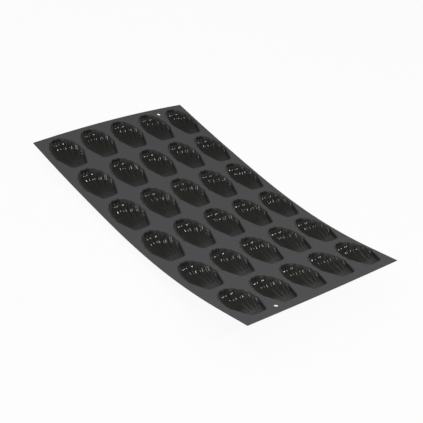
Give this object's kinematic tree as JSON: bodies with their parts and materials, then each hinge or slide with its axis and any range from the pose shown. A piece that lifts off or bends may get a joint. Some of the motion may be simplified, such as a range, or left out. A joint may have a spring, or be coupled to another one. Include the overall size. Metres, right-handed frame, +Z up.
{
  "type": "madeleine pan",
  "caption": "Flexible silicone-coated glass-cloth baking sheet with rows of fluted shell-shaped cavities and two hanging holes, bent upwards at one end.",
  "frame": {"origin": "on the surface that the cavities rest on, under the centre of the sheet's outline", "axes": "+X along the sheet's length towards the end that bends up and the narrow ends of the shells, +Y across its width, +Z up out of the food side"},
  "size_m": [0.525, 0.3086, 0.0545],
  "materials": {
    "food_side_silicone": "matte",
    "coated_glass_cloth": "matte woven",
    "cavity_wall": "glossy"
  },
  "bodies": {
    "row_1": {"food_coat_1": "food_side_silicone", "glass_cloth_1": "coated_glass_cloth", "cavity_1_1": "cavity_wall", "cavity_1_2": "cavity_wall", "cavity_1_3": "cavity_wall", "cavity_1_4": "cavity_wall", "cavity_1_5": "cavity_wall", "eye_cloth_far": "coated_glass_cloth"},
    "row_2": {"food_coat_2": "food_side_silicone", "glass_cloth_2": "coated_glass_cloth", "cavity_2_1": "cavity_wall", "cavity_2_2": "cavity_wall", "cavity_2_3": "cavity_wall", "cavity_2_4": "cavity_wall", "cavity_2_5": "cavity_wall", "flex_coat_1": "food_side_silicone", "flex_cloth_1": "coated_glass_cloth"},
    "row_3": {"food_coat_3": "food_side_silicone", "glass_cloth_3": "coated_glass_cloth", "cavity_3_1": "cavity_wall", "cavity_3_2": "cavity_wall", "cavity_3_3": "cavity_wall", "cavity_3_4": "cavity_wall", "cavity_3_5": "cavity_wall", "flex_coat_2": "food_side_silicone", "flex_cloth_2": "coated_glass_cloth", "flex_coat_3": "food_side_silicone", "flex_cloth_3": "coated_glass_cloth"},
    "row_4": {"food_coat_4": "food_side_silicone", "glass_cloth_4": "coated_glass_cloth", "cavity_4_1": "cavity_wall", "cavity_4_2": "cavity_wall", "cavity_4_3": "cavity_wall", "cavity_4_4": "cavity_wall", "cavity_4_5": "cavity_wall", "flex_coat_4": "food_side_silicone", "flex_cloth_4": "coated_glass_cloth"},
    "row_5": {"food_coat_5": "food_side_silicone", "glass_cloth_5": "coated_glass_cloth", "cavity_5_1": "cavity_wall", "cavity_5_2": "cavity_wall", "cavity_5_3": "cavity_wall", "cavity_5_4": "cavity_wall", "cavity_5_5": "cavity_wall", "flex_coat_5": "food_side_silicone", "flex_cloth_5": "coated_glass_cloth"},
    "row_6": {"food_coat_6": "food_side_silicone", "glass_cloth_6": "coated_glass_cloth", "cavity_6_1": "cavity_wall", "cavity_6_2": "cavity_wall", "cavity_6_3": "cavity_wall", "cavity_6_4": "cavity_wall", "cavity_6_5": "cavity_wall", "eye_cloth_near": "coated_glass_cloth"}
  },
  "joints": [
    {"name": "flex_1", "type": "hinge", "parent": "row_2", "child": "row_1", "pos_m": [-0.17326, 0, 0.02346], "axis": [0, 1, 0], "range_deg": [-20, 30], "stiffness_Nm_per_rad": 2.5, "springref_deg": 0.42, "deforming": ["flex_coat_1", "flex_cloth_1"]},
    {"name": "flex_2", "type": "hinge", "parent": "row_3", "child": "row_2", "pos_m": [-0.08738, 0, 0.01896], "axis": [0, 1, 0], "range_deg": [-20, 30], "stiffness_Nm_per_rad": 2.5, "springref_deg": 1.68, "deforming": ["flex_coat_2", "flex_cloth_2"]},
    {"name": "flex_3", "type": "hinge", "parent": "row_3", "child": "row_4", "pos_m": [-0.00143, 0, 0.01596], "axis": [0, -1, 0], "range_deg": [-20, 30], "stiffness_Nm_per_rad": 2.5, "springref_deg": 2.52, "deforming": ["flex_coat_3", "flex_cloth_3"]},
    {"name": "flex_4", "type": "hinge", "parent": "row_4", "child": "row_5", "pos_m": [0.08452, 0, 0.01896], "axis": [0, -1, 0], "range_deg": [-20, 30], "stiffness_Nm_per_rad": 2.5, "springref_deg": 1.67, "deforming": ["flex_coat_4", "flex_cloth_4"]},
    {"name": "flex_5", "type": "hinge", "parent": "row_5", "child": "row_6", "pos_m": [0.16968, 0, 0.03093], "axis": [0, -1, 0], "range_deg": [-20, 30], "stiffness_Nm_per_rad": 2.5, "springref_deg": 0.41, "deforming": ["flex_coat_5", "flex_cloth_5"]}
  ]
}
